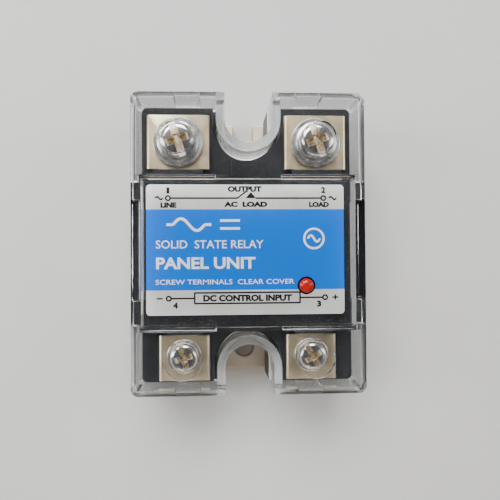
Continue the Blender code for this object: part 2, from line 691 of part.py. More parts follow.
def lying_resistor(name, x, y, radius):
    """Axial resistor lying along Y, waisted between its two end caps."""
    length = 5.2 * radius
    profile = []
    for share, width in ((0, 0), (0, 0.75), (0.06, 1), (0.24, 1), (0.32, 0.85), (0.68, 0.85),
                         (0.76, 1), (0.94, 1), (1, 0.75), (1, 0)):
        profile.append((width * radius, (share - 0.5) * length))
    made = turned(name, profile, (0.0, 0.0), resistor_coat(), steps=SMALL_ROUND)
    made.rotation_euler.x = math.radians(90)
    made.location = (x, y + length / 2, BOARD_TOP + GAP + radius)


def sealing_bead():
    """Epoxy bead round the foot of the case, inside its wall."""
    inner_x = COVER_WIDTH / 2 - COVER_WALL - GAP - CASE_WALL - GAP
    inner_y = COVER_LENGTH / 2 - COVER_WALL - GAP - CASE_WALL - GAP
    bulge = NOTCH_RADIUS + NOTCH_WALL + NOTCH_CLEARANCE + CASE_WALL + GAP
    width = 1.0 * MM
    low = BASE_THICKNESS + GAP
    outline = notched_outline(inner_x, inner_y, CASE_CORNER, bulge)
    bead = prism("sealing_bead", outline, low, low + width, adhesive())
    inside = notched_outline(inner_x - width, inner_y - width, CASE_CORNER, bulge + width)
    cut(bead, prism("bead_inside", inside, low - OVERSHOOT, low + width + OVERSHOOT))


def main():
    clear_scene()
    base_plate()
    body_case()
    clear_cover()
    label()
    lamp()
    terminals()
    power_stage()
    output_straps()
    gel_and_gate_leads()
    circuit_board()
    sealing_bead()


main()
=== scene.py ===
"""Looks of the panel-mount solid state relay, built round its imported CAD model."""
import math

import bmesh
import bpy
from mathutils import Euler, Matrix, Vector


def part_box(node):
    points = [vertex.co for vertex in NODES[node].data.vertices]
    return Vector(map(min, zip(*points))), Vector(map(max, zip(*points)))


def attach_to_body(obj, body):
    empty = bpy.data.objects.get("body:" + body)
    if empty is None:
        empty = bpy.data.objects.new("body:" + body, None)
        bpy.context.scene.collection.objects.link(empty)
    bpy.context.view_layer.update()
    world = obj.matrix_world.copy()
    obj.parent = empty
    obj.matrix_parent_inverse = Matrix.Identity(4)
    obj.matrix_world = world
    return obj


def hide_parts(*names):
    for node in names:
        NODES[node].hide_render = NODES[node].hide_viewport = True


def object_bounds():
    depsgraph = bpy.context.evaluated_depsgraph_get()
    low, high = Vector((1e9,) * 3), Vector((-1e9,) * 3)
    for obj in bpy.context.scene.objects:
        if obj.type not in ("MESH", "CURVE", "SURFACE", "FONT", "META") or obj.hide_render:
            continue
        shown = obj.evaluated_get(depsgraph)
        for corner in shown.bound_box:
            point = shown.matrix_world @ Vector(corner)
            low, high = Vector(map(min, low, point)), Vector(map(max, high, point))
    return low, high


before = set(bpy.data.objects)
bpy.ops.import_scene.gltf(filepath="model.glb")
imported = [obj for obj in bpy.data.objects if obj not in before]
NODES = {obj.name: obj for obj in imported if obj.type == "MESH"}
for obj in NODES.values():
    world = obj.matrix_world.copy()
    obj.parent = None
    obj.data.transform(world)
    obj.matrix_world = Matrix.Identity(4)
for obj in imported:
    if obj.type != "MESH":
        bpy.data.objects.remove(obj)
cad_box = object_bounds()

MM = 0.001

# Camera: a close view from above with a slight tilt, in degrees
CAMERA_OFFSET = (-6.19 * MM, -3.45 * MM, 112.35 * MM)
CAMERA_TILT = (1.07, -3.21, -0.36)
CAMERA_LENS = 41.76

# Terminal screws: number, prefix, slot angle in degrees, then in millimetres the head's diameter and
# height, the recess's reach and the slot's width
SCREWS = (
    (1, "output", 71, 7.2, 2.2, 2.55, 1.35),
    (2, "output", 71, 7.2, 2.2, 2.55, 1.35),
    (3, "input", 60, 5.6, 1.8, 1.95, 1.0),
    (4, "input", 75, 5.6, 1.8, 1.95, 1.0),
)
THREADS = {"output": (4.0, 0.7), "input": (3.0, 0.5)}
WASHER_BORES = {1: 2.3 * MM, 2: 2.3 * MM, 3: 1.8 * MM, 4: 1.8 * MM}
ROUND = 96

# Screw head, as shares of its height or radius
HEAD_SIDE = 0.42
HEAD_SHOULDER = 0.42
SLOT_DEPTH = 0.60
RECESS_DEPTH = 0.74

# Cover: notches round the fixing screws, break-out panels behind the end faces, skirt foot above the tongues
NOTCH_RADIUS = 4.7 * MM
NOTCH_CENTRE = 24.35 * MM
PANEL_BAND = (0.2 * MM, 0.6 * MM)
SKIRT_FOOT_BAND = (4 * MM, 6 * MM)
FOOT_RIM = 0.5 * MM

# Label print, in millimetres
BLUE_TOP = 7.0
BLUE_FOOT = -9.35
BLUE_EDGE = 0.03
PRINT_LIFT = 0.015

# Limits used to clean up copied meshes
TOUCH = 1e-6
FLAT_ANGLE = math.radians(0.6)


# ---------------------------------------------------------------- materials

class Shader:
    """A small writer of procedural node trees in object coordinates."""

    def __init__(self, name):
        self.material = bpy.data.materials.new(name)
        self.material.use_nodes = True
        self.tree = self.material.node_tree
        self.tree.nodes.clear()
        self.output = self.add("ShaderNodeOutputMaterial")
        self.bsdf = self.add("ShaderNodeBsdfPrincipled")
        self.link(self.bsdf, "BSDF", self.output, "Surface")
        self.coords = self.add("ShaderNodeTexCoord")

    def add(self, kind, **values):
        node = self.tree.nodes.new(kind)
        for key, value in values.items():
            setattr(node, key, value)
        return node

    def link(self, source, out, target, into):
        self.tree.links.new(source.outputs[out], target.inputs[into])

    def set(self, **values):
        for key, value in values.items():
            self.bsdf.inputs[key.replace("_", " ")].default_value = value

    def noise(self, size, detail=3.0, stretch=(1, 1, 1), rough=0.5):
        """Noise whose features are about size metres across, squeezed by stretch."""
        mapping = self.add("ShaderNodeMapping")
        mapping.inputs["Scale"].default_value = stretch
        self.link(self.coords, "Object", mapping, "Vector")
        node = self.add("ShaderNodeTexNoise")
        node.inputs["Scale"].default_value = 1.0 / size
        node.inputs["Detail"].default_value = detail
        node.inputs["Roughness"].default_value = rough
        self.link(mapping, "Vector", node, "Vector")
        return node

    def range(self, source, out, low, high, new_low, new_high):
        """Values from low to high become values from new_low to new_high."""
        node = self.add("ShaderNodeMapRange")
        for key, value in (("From Min", low), ("From Max", high), ("To Min", new_low), ("To Max", new_high)):
            node.inputs[key].default_value = value
        self.link(source, out, node, "Value")
        return node

    def math(self, operation, a, b=None):
        """A math node; an input is a number or a (node, output) pair."""
        node = self.add("ShaderNodeMath", operation=operation)
        for index, value in enumerate((a, b)):
            if isinstance(value, tuple):
                self.link(*value, node, index)
            elif value is not None:
                node.inputs[index].default_value = value
        return node

    def mix(self, factor, a, b):
        """A colour mix; factor is a (node, output) pair, and so are a and b unless they are colours."""
        node = self.add("ShaderNodeMix", data_type="RGBA")
        self.link(*factor, node, 0)
        for index, value in ((6, a), (7, b)):
            if isinstance(value[0], bpy.types.Node):
                self.link(*value, node, index)
            else:
                node.inputs[index].default_value = (*value, 1.0)
        return node

    def blend(self, factor, a, b):
        """A number mix; factor and a are (node, output) pairs and b is a number."""
        node = self.add("ShaderNodeMix", data_type="FLOAT")
        self.link(*factor, node, 0)
        self.link(*a, node, 2)
        node.inputs[3].default_value = b
        return node

    def split(self):
        """The object coordinates as separate X, Y and Z."""
        node = self.add("ShaderNodeSeparateXYZ")
        self.link(self.coords, "Object", node, 0)
        return node

    def feeding(self, name):
        """The (node, output) pair that now drives an input of the main shader."""
        socket = self.bsdf.inputs[name].links[0].from_socket
        return socket.node, list(socket.node.outputs).index(socket)

    def edge(self, radius, spread):
        """Near 1 on outer and inner edges, broken up by noise, and 0 on open faces."""
        bevel = self.add("ShaderNodeBevel", samples=6)
        bevel.inputs["Radius"].default_value = radius
        geometry = self.add("ShaderNodeNewGeometry")
        dot = self.add("ShaderNodeVectorMath", operation="DOT_PRODUCT")
        self.link(bevel, "Normal", dot, 0)
        self.link(geometry, "Normal", dot, 1)
        mask = self.range(dot, "Value", 0.80, 0.995, 1.0, 0.0)
        patch = self.range(self.noise(spread, 4.0), "Fac", 0.38, 0.62, 0.0, 1.0)
        return self.math("MULTIPLY", (mask, 0), (patch, 0))

    def bump(self, layers):
        """Stack bumps given as (node, output, height in metres)."""
        last = None
        for node, out, height in layers:
            bump = self.add("ShaderNodeBump")
            bump.inputs["Distance"].default_value = height
            self.link(node, out, bump, "Height")
            if last:
                self.link(last, "Normal", bump, "Normal")
            last = bump
        self.link(last, "Normal", self.bsdf, "Normal")


def surface(name, light, dark, rough, blotch=6 * MM, grain=0.2 * MM, relief=4e-6, stretch=(1, 1, 1),
            wear=None, wear_rough=0.3, speckle=0.12, **values):
    """A general surface: blotchy colour, fine grain, uneven gloss, grain relief and worn edges."""
    s = Shader(name)
    s.set(**values)
    broad = s.noise(blotch, 4.0)
    fine = s.noise(grain, 5.0, stretch, 0.6)
    tone = s.range(broad, "Fac", 0.3, 0.7, 0.0, 1.0)
    colour = s.mix((tone, 0), dark, light)
    grey = s.range(fine, "Fac", 0.25, 0.75, 1.0 - speckle, 1.0 + speckle)
    speck = s.add("ShaderNodeVectorMath", operation="SCALE")
    s.link(colour, 2, speck, 0)
    s.link(grey, 0, speck, "Scale")
    halves = [(s.range(node, "Fac", 0.3, 0.7, 0.0, 0.5), 0) for node in (broad, fine)]
    gloss = s.range(s.math("ADD", *halves), 0, 0.0, 1.0, rough[0], rough[1])
    if wear:
        edge = s.edge(0.25 * MM, 1.4 * MM)
        s.link(s.mix((edge, 0), (speck, "Vector"), wear), 2, s.bsdf, "Base Color")
        s.link(s.blend((edge, 0), (gloss, 0), wear_rough), 0, s.bsdf, "Roughness")
    else:
        s.link(speck, "Vector", s.bsdf, "Base Color")
        s.link(gloss, 0, s.bsdf, "Roughness")
    s.bump([(broad, "Fac", relief * 2), (fine, "Fac", relief)])
    return s


def moulded_black():
    """Spark-textured black case plastic with pale rubbed edges and painted glints, pale specks mixed into the
    colour.
    """
    s = surface("case_black", (0.0105, 0.011, 0.0125), (0.006, 0.0065, 0.0075), (0.30, 0.44), grain=0.16 * MM,
                relief=2.2e-5, wear=(0.04, 0.042, 0.046), wear_rough=0.35, speckle=0.35)
    s.set(Specular_IOR_Level=0.20)
    # Painted glints: pale specks in the base colour stand in for light glinting off the spark texture.
    painted_glint_mask = s.range(s.noise(0.14 * MM, 1.0), "Fac", 0.62, 0.74, 0.0, 1.0)
    with_painted_glints = s.mix((painted_glint_mask, 0), s.feeding("Base Color"), (0.095, 0.098, 0.105))
    s.link(with_painted_glints, 2, s.bsdf, "Base Color")
    return s.material


def brushed_metal(name, light, dark, rough, relief=1.2e-6, grain=0.10 * MM, speckle=0.07, **values):
    """Bare or plated metal with a fine grain."""
    return surface(name, light, dark, rough, blotch=3 * MM, grain=grain, relief=relief, speckle=speckle,
                   Metallic=1.0, **values).material


def screw_metal():
    """Bright zinc plate, with painted shade in a brown-gold tone down in the driver recess, and a paler,
    rougher slot floor.
    """
    s = surface("screw_zinc", (0.86, 0.85, 0.82), (0.62, 0.60, 0.55), (0.10, 0.22), blotch=1.6 * MM,
                grain=0.08 * MM, relief=1.5e-6, speckle=0.06, wear=(0.92, 0.92, 0.91), wear_rough=0.18,
                Metallic=1.0)
    split = s.split()
    flat = s.add("ShaderNodeCombineXYZ")
    s.link(split, "X", flat, "X")
    s.link(split, "Y", flat, "Y")
    reach = s.add("ShaderNodeVectorMath", operation="LENGTH")
    s.link(flat, 0, reach, 0)

    def within(radii, heights):
        """Near 1 inside a radius and below a height, both in millimetres, and 0 beyond."""
        inside = s.range(reach, "Value", radii[0] * MM, radii[1] * MM, 1.0, 0.0)
        below = s.range(split, "Z", heights[0] * MM, heights[1] * MM, 1.0, 0.0)
        return s.math("MULTIPLY", (inside, 0), (below, 0))

    # Painted shade with the brown tint of a painted reflection: the deep part of the driver recess is
    # darkened to a mottled brown-gold.
    film = within((2.0, 2.8), (-0.75, -0.5))
    # Slot floor and upper recess: rougher for the forged finish, and paler as a painted highlight.
    centre = within((2.5, 2.7), (-0.45, -0.25))
    across = within((3.45, 3.55), (-1.05, -0.98))
    recess = s.math("MAXIMUM", (centre, 0), (across, 0))
    patches = s.range(s.noise(0.5 * MM, 3.0), "Fac", 0.35, 0.6, 0.55, 1.0)
    mottled_recess_shade = s.math("MULTIPLY", (film, 0), (patches, 0))
    recess_tint_streaks = s.range(s.noise(0.35 * MM, 4.0), "Fac", 0.4, 0.6, 0.0, 1.0)
    recess_shade_tint = s.mix((recess_tint_streaks, 0), (0.62, 0.46, 0.24), (0.20, 0.12, 0.045))
    forged_highlit_floor = s.mix((recess, 0), s.feeding("Base Color"), (0.95, 0.92, 0.85))
    s.link(s.mix((mottled_recess_shade, 0), (forged_highlit_floor, 2), (recess_shade_tint, 2)), 2, s.bsdf, "Base Color")
    s.link(s.blend((recess, 0), s.feeding("Roughness"), 0.42), 0, s.bsdf, "Roughness")
    return s.material


def clear_polycarbonate(name, rough, ripple, clear=1.0, painted_highlight_inside=None):
    """Clear plastic, wavy and scratched, with only a light shadow; milky within any half sizes given, as a
    painted highlight.
    """
    s = Shader(name)
    s.set(IOR=1.56, Transmission_Weight=clear, Base_Color=(0.965, 0.975, 0.975, 1))
    wave = s.noise(5 * MM, 2.0)
    haze = s.noise(0.35 * MM, 4.0)
    scratch = s.noise(0.5 * MM, 2.0, (1, 14, 1))
    s.link(s.range(haze, "Fac", 0.35, 0.7, rough[0], rough[1]), 0, s.bsdf, "Roughness")
    s.bump([(wave, "Fac", ripple), (scratch, "Fac", ripple * 0.02), (haze, "Fac", ripple * 0.02)])
    # Painted highlight: the less clear, milky part shows pale in place of the bright line of light along the
    # cover's foot.
    if painted_highlight_inside:
        split = s.split()
        beyond = [(s.math("SUBTRACT", (s.math("ABSOLUTE", (split, axis)), 0), half), 0)
                  for axis, half in zip("XY", painted_highlight_inside)]
        outside = s.range(s.math("MAXIMUM", *beyond), 0, 0.0, 0.05 * MM, 0.70, clear)
        s.link(outside, 0, s.bsdf, "Transmission Weight")
    path = s.add("ShaderNodeLightPath")
    through = s.add("ShaderNodeBsdfTransparent")
    through.inputs["Color"].default_value = (0.93, 0.94, 0.94, 1)
    mix = s.add("ShaderNodeMixShader")
    s.link(path, "Is Shadow Ray", mix, 0)
    s.link(s.bsdf, "BSDF", mix, 1)
    s.link(through, "BSDF", mix, 2)
    s.link(mix, "Shader", s.output, "Surface")
    return s.material


def label_face():
    """Matt silver film with a flat blue field printed across it."""
    s = surface("label_silver", (0.70, 0.70, 0.685), (0.61, 0.61, 0.595), (0.28, 0.40), blotch=7 * MM,
                grain=0.20 * MM, relief=2.5e-6, speckle=0.30, Metallic=0.35, Specular_IOR_Level=0.2)
    split = s.split()
    edge = BLUE_EDGE * MM
    above = s.range(split, "Y", BLUE_FOOT * MM - edge, BLUE_FOOT * MM + edge, 0.0, 1.0)
    below = s.range(split, "Y", BLUE_TOP * MM - edge, BLUE_TOP * MM + edge, 1.0, 0.0)
    field = s.math("MULTIPLY", (above, 0), (below, 0))
    tone = s.range(s.noise(0.16 * MM, 3.0), "Fac", 0.3, 0.7, 0.0, 1.0)
    blue = s.mix((tone, 0), (0.0, 0.115, 0.58), (0.0, 0.14, 0.66))
    s.link(s.mix((field, 0), s.feeding("Base Color"), (blue, 2)), 2, s.bsdf, "Base Color")
    s.link(s.range(field, 0, 0.0, 1.0, 0.35, 0.0), 0, s.bsdf, "Metallic")
    return s.material


def ink(name, light, dark):
    """Dry printing ink with a slight sheen."""
    return surface(name, light, dark, (0.26, 0.36), blotch=2 * MM, grain=0.1 * MM, relief=6e-7, speckle=0.1,
                   Specular_IOR_Level=0.25).material


def lamp_red():
    """Red diffusing lamp plastic."""
    return surface("lamp_red", (0.50, 0.018, 0.009), (0.34, 0.008, 0.005), (0.16, 0.28), blotch=1.2 * MM,
                   grain=0.1 * MM, relief=8e-7, speckle=0.08, Coat_Weight=0.25, Coat_Roughness=0.08,
                   Subsurface_Weight=0.25, Subsurface_Scale=0.0010, Specular_IOR_Level=0.3).material


cover_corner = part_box("clear_cover")[1]
FOOT_EDGE = (cover_corner.x - FOOT_RIM, cover_corner.y - FOOT_RIM)
MATERIALS = {
    "black": moulded_black(),
    "clear": clear_polycarbonate("cover_clear", (0.0, 0.035), 1.2e-5),
    "frost": clear_polycarbonate("cover_frosted", (0.14, 0.30), 3e-5, 0.95),
    # Milky skirt foot: a painted highlight along the foot of the cover.
    "foot": clear_polycarbonate("cover_foot_painted_highlight", (0.35, 0.50), 1e-5, 0.95, FOOT_EDGE),
    "label": label_face(),
    "dark_ink": ink("ink_black", (0.006, 0.006, 0.007), (0.011, 0.011, 0.012)),
    "white_ink": ink("ink_white", (0.86, 0.88, 0.90), (0.72, 0.76, 0.80)),
    "lamp": lamp_red(),
    "screw": screw_metal(),
    "washer": brushed_metal("washer_zinc", (0.80, 0.79, 0.77), (0.60, 0.585, 0.555), (0.16, 0.34)),
    # The warm brown tint of the nickel terminal plates is a painted reflection of brown surroundings.
    "nickel": brushed_metal("terminal_nickel_warm_reflection", (0.78, 0.65, 0.45), (0.64, 0.51, 0.33), (0.26, 0.38),
                            stretch=(7, 1, 1), speckle=0.16, relief=3e-6,
                            wear=(0.95, 0.93, 0.90), wear_rough=0.2),
    # The warm tint of the base plate is a painted reflection of brown surroundings.
    "plate": brushed_metal("base_nickel_warm_reflection", (0.93, 0.82, 0.66), (0.86, 0.73, 0.56), (0.40, 0.52),
                           stretch=(1, 9, 1), wear=(0.95, 0.93, 0.90), wear_rough=0.3),
    "copper": brushed_metal("copper_strip", (0.86, 0.44, 0.29), (0.66, 0.29, 0.17), (0.25, 0.45)),
    "ceramic": surface("substrate_ceramic", (0.80, 0.79, 0.75), (0.71, 0.70, 0.66), (0.45, 0.6)).material,
    "silicon": surface("die_silicon", (0.10, 0.105, 0.12), (0.06, 0.065, 0.08), (0.12, 0.22),
                       Metallic=0.7).material,
    "board": surface("board_laminate", (0.030, 0.15, 0.055), (0.018, 0.10, 0.035), (0.25, 0.42),
                     grain=0.3 * MM, stretch=(1, 4, 1)).material,
    "epoxy": surface("component_epoxy", (0.030, 0.030, 0.032), (0.018, 0.018, 0.02), (0.4, 0.6),
                     wear=(0.08, 0.08, 0.085)).material,
    "resistor": surface("resistor_coat", (0.24, 0.47, 0.60), (0.17, 0.36, 0.50), (0.3, 0.45)).material,
    "capacitor": surface("capacitor_coat", (0.62, 0.28, 0.05), (0.50, 0.20, 0.03), (0.25, 0.4)).material,
    "gel": surface("silicone_gel", (0.62, 0.64, 0.62), (0.52, 0.55, 0.54), (0.12, 0.25), blotch=4 * MM,
                   Transmission_Weight=0.35).material,
    "bead": surface("sealing_epoxy", (0.045, 0.042, 0.04), (0.028, 0.026, 0.025), (0.2, 0.4),
                    blotch=2 * MM, relief=2e-5).material,
}

# CAD nodes that are kept: material and edge radius in millimetres, by the name without its number
FINISHES = {
    "base_plate": ("plate", 0.25), "body_case": ("black", 0.22), "captive_nut": ("washer", 0.2),
    "ceramic_substrate": ("ceramic", 0.05), "copper_pad": ("copper", 0.03),
    "thyristor_die": ("silicon", 0.03), "die_clip": ("copper", 0.08),
    "output_strap": ("copper", 0.1), "gate_lead": ("copper", 0.08), "silicone_gel": ("gel", 0.1),
    "circuit_board": ("board", 0.08), "optocoupler": ("epoxy", 0.15), "input_transistor": ("epoxy", 0.15),
    "input_diode": ("epoxy", 0.15), "snubber_capacitor": ("capacitor", 0.5),
    "snubber_resistor": ("resistor", 0.3), "input_resistor": ("resistor", 0.3),
    "gate_resistor": ("resistor", 0.3), "sealing_bead": ("bead", 0.2),
}


# ---------------------------------------------------------------- mesh tools

def add_modifier(piece, name, kind, **values):
    """Add a modifier with its settings."""
    modifier = piece.modifiers.new(name, kind)
    for key, value in values.items():
        setattr(modifier, key, value)
    return modifier


def smooth(piece):
    for polygon in piece.data.polygons:
        polygon.use_smooth = True


def ease_edges(piece, width, angle=30, segments=3):
    """Rounded edges with shading that stays flat on the faces between them."""
    smooth(piece)
    add_modifier(piece, "ease", "BEVEL", width=width, segments=segments, limit_method="ANGLE",
                 angle_limit=math.radians(angle), harden_normals=True, miter_outer="MITER_ARC")


def attach(piece, body, node=None):
    """Let a piece ride a body, in place of a CAD node if one is given."""
    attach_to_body(piece, body)
    if node:
        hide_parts(node)


def make_piece(name, mesh, material, location=(0, 0, 0)):
    """A new object at a place, with one material from the table."""
    piece = bpy.data.objects.new(name, mesh)
    bpy.context.scene.collection.objects.link(piece)
    piece.location = location
    mesh.materials.clear()
    mesh.materials.append(MATERIALS[material])
    return piece


def from_faces(name, points, faces):
    """A mesh from points and faces, with every face turned outwards."""
    mesh = bpy.data.meshes.new(name)
    mesh.from_pydata([tuple(p) for p in points], [], faces)
    shape = bmesh.new()
    shape.from_mesh(mesh)
    bmesh.ops.recalc_face_normals(shape, faces=shape.faces)
    shape.to_mesh(mesh)
    shape.free()
    return mesh


def prism(name, outline, low, high):
    """An outline in X and Y carried from one height to another."""
    count = len(outline)
    points = [(x, y, low) for x, y in outline] + [(x, y, high) for x, y in outline]
    faces = [tuple(range(count)), tuple(range(count, 2 * count))]
    faces += [(i, (i + 1) % count, count + (i + 1) % count, count + i) for i in range(count)]
    return from_faces(name, points, faces)


def lathe(name, profile, closed=False):
    """Turn a profile of (radius, height) round the Z axis; a zero radius closes on the axis."""
    points, rows, faces = [], [], []
    for radius, height in profile:
        if radius == 0:
            rows.append([len(points)] * ROUND)
            points.append((0, 0, height))
            continue
        rows.append(list(range(len(points), len(points) + ROUND)))
        turns = [2 * math.pi * i / ROUND for i in range(ROUND)]
        points += [(radius * math.cos(a), radius * math.sin(a), height) for a in turns]
    pairs = list(zip(rows, rows[1:])) + ([(rows[-1], rows[0])] if closed else [])
    for lower, upper in pairs:
        for i in range(ROUND):
            j = (i + 1) % ROUND
            face = list(dict.fromkeys((lower[i], lower[j], upper[j], upper[i])))
            if len(face) > 2:
                faces.append(face)
    return from_faces(name, points, faces)


def carve(piece, mesh):
    """Cut a closed mesh out of a piece and keep the result."""
    tool = bpy.data.objects.new("tool", mesh)
    bpy.context.scene.collection.objects.link(tool)
    tool.matrix_world = piece.matrix_world.copy()
    bpy.context.view_layer.update()
    modifier = add_modifier(piece, "carve", "BOOLEAN", object=tool, operation="DIFFERENCE", solver="EXACT")
    depsgraph = bpy.context.evaluated_depsgraph_get()
    result = bpy.data.meshes.new_from_object(piece.evaluated_get(depsgraph))
    piece.modifiers.remove(modifier)
    old = piece.data
    piece.data = result
    bpy.data.objects.remove(tool)
    bpy.data.meshes.remove(old)


def turn_outline(outline, degrees):
    """Turn points about the origin."""
    c, s = math.cos(math.radians(degrees)), math.sin(math.radians(degrees))
    return [(x * c - y * s, x * s + y * c) for x, y in outline]


def arc(centre, radius, start, end, steps):
    """Points along an arc, from one angle to another in degrees."""
    angles = [math.radians(start + (end - start) * i / steps) for i in range(steps + 1)]
    return [(centre[0] + radius * math.cos(a), centre[1] + radius * math.sin(a)) for a in angles]


def centre_of(node):
    low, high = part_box(node)
    return (low + high) / 2


# ---------------------------------------------------------------- CAD nodes kept, with eased edges

def plain_shading(mesh):
    """Drop stored normals, so that the modifiers' own shading shows."""
    if "custom_normal" in mesh.attributes:
        mesh.attributes.remove(mesh.attributes["custom_normal"])


def dress_cad_nodes():
    """Materials and eased edges for the CAD nodes that stay visible."""
    for name, node in NODES.items():
        stem = name.rstrip("0123456789").rstrip("_")
        if stem not in FINISHES:
            continue
        finish, ease = FINISHES[stem]
        plain_shading(node.data)
        node.data.materials.clear()
        node.data.materials.append(MATERIALS[finish])
        add_modifier(node, "join", "WELD", merge_threshold=TOUCH)
        add_modifier(node, "flatten", "DECIMATE", decimate_type="DISSOLVE", angle_limit=FLAT_ANGLE)
        ease_edges(node, ease * MM)


# ---------------------------------------------------------------- clear cover

def cleaned_copy(node, rounded=None):
    """A copy of a node's mesh with whole faces again; rounded picks edges for a bigger radius."""
    mesh = NODES[node].data.copy()
    plain_shading(mesh)
    shape = bmesh.new()
    shape.from_mesh(mesh)
    bmesh.ops.remove_doubles(shape, verts=shape.verts, dist=TOUCH)
    bmesh.ops.dissolve_limit(shape, angle_limit=FLAT_ANGLE, verts=shape.verts, edges=shape.edges)
    if rounded:
        pick, width = rounded
        edges = [edge for edge in shape.edges if pick(edge)]
        bmesh.ops.bevel(shape, geom=edges, offset=width, segments=6, profile=0.5, affect="EDGES")
    shape.to_mesh(mesh)
    shape.free()
    return mesh


def terminal_plate(number, prefix):
    """A terminal plate whose long edges are rolled over, as sheared and pressed strip is."""
    node = f"{prefix}_terminal_{number}"
    low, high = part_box(node)

    def long_edge(edge):
        a, b = (vertex.co for vertex in edge.verts)
        side = min(abs(a.x - low.x), abs(a.x - high.x)) < 10 * TOUCH
        return side and abs(a.x - b.x) < TOUCH and min(a.z, b.z) > high.z - 10 * TOUCH

    mesh = cleaned_copy(node, (long_edge, 0.62 * MM))
    plate = make_piece(f"{node}_plate", mesh, "nickel")
    ease_edges(plate, 0.14 * MM)
    attach(plate, "relay", node)


def clear_cover():
    """The cover with moulded edge radii, frosted panels and notch walls, and a milky skirt foot that is a
    painted highlight.
    """
    mesh = cleaned_copy("clear_cover")
    cover = make_piece("clear_cover_shell", mesh, "clear")
    mesh.materials.append(MATERIALS["frost"])
    mesh.materials.append(MATERIALS["foot"])
    frost, foot = 1, 2
    low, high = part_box("clear_cover")
    notch = NOTCH_RADIUS + 0.1 * MM
    for polygon in mesh.polygons:
        x, y, z = polygon.center.x, abs(polygon.center.y), polygon.center.z
        upright = abs(polygon.normal.z) < 0.1
        facing_end = abs(polygon.normal.y) > 0.9
        round_notch = math.hypot(x, y - NOTCH_CENTRE) < notch or (y > NOTCH_CENTRE and abs(x) < notch)
        if facing_end and PANEL_BAND[0] < high.y - y < PANEL_BAND[1]:
            polygon.material_index = frost
        if upright and round_notch:
            polygon.material_index = frost
        if polygon.normal.z < -0.9 and SKIRT_FOOT_BAND[0] < z - low.z < SKIRT_FOOT_BAND[1]:
            polygon.material_index = foot
    ease_edges(cover, 0.2 * MM)
    attach(cover, "cover", "clear_cover")


# ---------------------------------------------------------------- screws and washers

def head_profile(radius, height):
    """From the seat, up round the rim and over the pan, to the middle of the top."""
    rim, crown = 0.28 * MM, 0.1 * MM
    side = HEAD_SIDE * height
    profile = [(0, -height), (radius - rim, -height)]
    profile += [(radius - rim + x, y - height) for x, y in arc((0, rim), rim, -60, 0, 3)]
    steps = 12
    for i in range(steps + 1):
        angle = math.radians(90 * i / steps)
        out = radius * (1 - HEAD_SHOULDER * (1 - math.cos(angle) ** 0.8))
        profile.append((out, side - height + (height - crown - side) * math.sin(angle) ** 0.9))
    profile += [(out * (1 - i / 4), -crown * (1 - i / 4) ** 2) for i in (1, 2, 3)]
    return profile + [(0, 0)]


def cross_outline(reach, half):
    """A cross with four arms of one reach and half width."""
    corner = [(half, reach), (half, half), (reach, half)]
    outline = []
    for turn in (0, 90, 180, 270):
        outline += turn_outline(corner, -turn)
    return outline


def tapered_cross(reach, half, depth, turn):
    """A cruciform recess that narrows downwards to a blunt foot."""
    foot_reach, foot_half = 0.42 * reach, 0.62 * half
    flare, above = 1.25, 0.5 * depth
    top = turn_outline(cross_outline(reach, half), turn)
    foot = turn_outline(cross_outline(foot_reach, foot_half), turn)
    count = len(top)
    points = [(x, y, -depth) for x, y in foot] + [(x * flare, y * flare, above) for x, y in top]
    faces = [tuple(range(count)), tuple(range(count, 2 * count))]
    faces += [(i, (i + 1) % count, count + (i + 1) % count, count + i) for i in range(count)]
    return from_faces("recess", points, faces)


def threaded_shank(name, diameter, pitch, low, high):
    """A single-start right-hand thread with a chamfered tip."""
    around, rows_per_turn = 40, 8
    rows = int((high - low) / pitch * rows_per_turn)
    depth, tip = 0.6 * pitch, 0.5 * MM
    points = []
    for row in range(rows + 1):
        z = low + (high - low) * row / rows
        for step in range(around):
            phase = (z / pitch - step / around) % 1.0
            crest = 1 - min(1.0, max(0.0, (abs(phase - 0.5) - 0.1) / 0.3))
            radius = diameter / 2 - depth * (1 - crest)
            radius = min(radius, diameter / 2 - tip + max(0.0, z - low))
            angle = 2 * math.pi * step / around
            points.append((radius * math.cos(angle), radius * math.sin(angle), z))
    faces = [tuple(range(around)), tuple(range(rows * around, (rows + 1) * around))]
    for row in range(rows):
        for step in range(around):
            a, b = row * around + step, row * around + (step + 1) % around
            faces.append((a, b, b + around, a + around))
    return from_faces(name, points, faces)


def terminal_screw(number, prefix, turn, diameter, height, reach, slot):
    """A pan head with a slot and a cross recess, and a threaded shank below it."""
    node = f"{prefix}_screw_{number}"
    low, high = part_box(node)
    axis = centre_of(f"flat_washer_{number}")
    place = (axis.x, axis.y, high.z)
    radius = diameter / 2 * MM
    profile = head_profile(radius, height * MM)
    head = make_piece(f"{node}_head", lathe(f"{node}_head", profile), "screw", place)
    half = slot / 2 * MM
    bar = [(-2 * radius, -half), (2 * radius, -half), (2 * radius, half), (-2 * radius, half)]
    bpy.context.view_layer.update()
    carve(head, prism("slot", turn_outline(bar, -turn), -SLOT_DEPTH * height * MM, height * MM))
    carve(head, tapered_cross(reach * MM, 0.56 * slot * MM, RECESS_DEPTH * height * MM, -turn))
    ease_edges(head, 0.09 * MM, angle=38)
    major, pitch = THREADS[prefix]
    shank = threaded_shank(f"{node}_shank", (major - 0.02) * MM, pitch * MM, low.z - high.z,
                           -height * MM + 0.05 * MM)
    thread = make_piece(f"{node}_shank", shank, "screw", place)
    for polygon in thread.data.polygons:
        polygon.use_smooth = len(polygon.vertices) == 4
    for piece in (head, thread):
        attach(piece, f"screw_{number}", node)


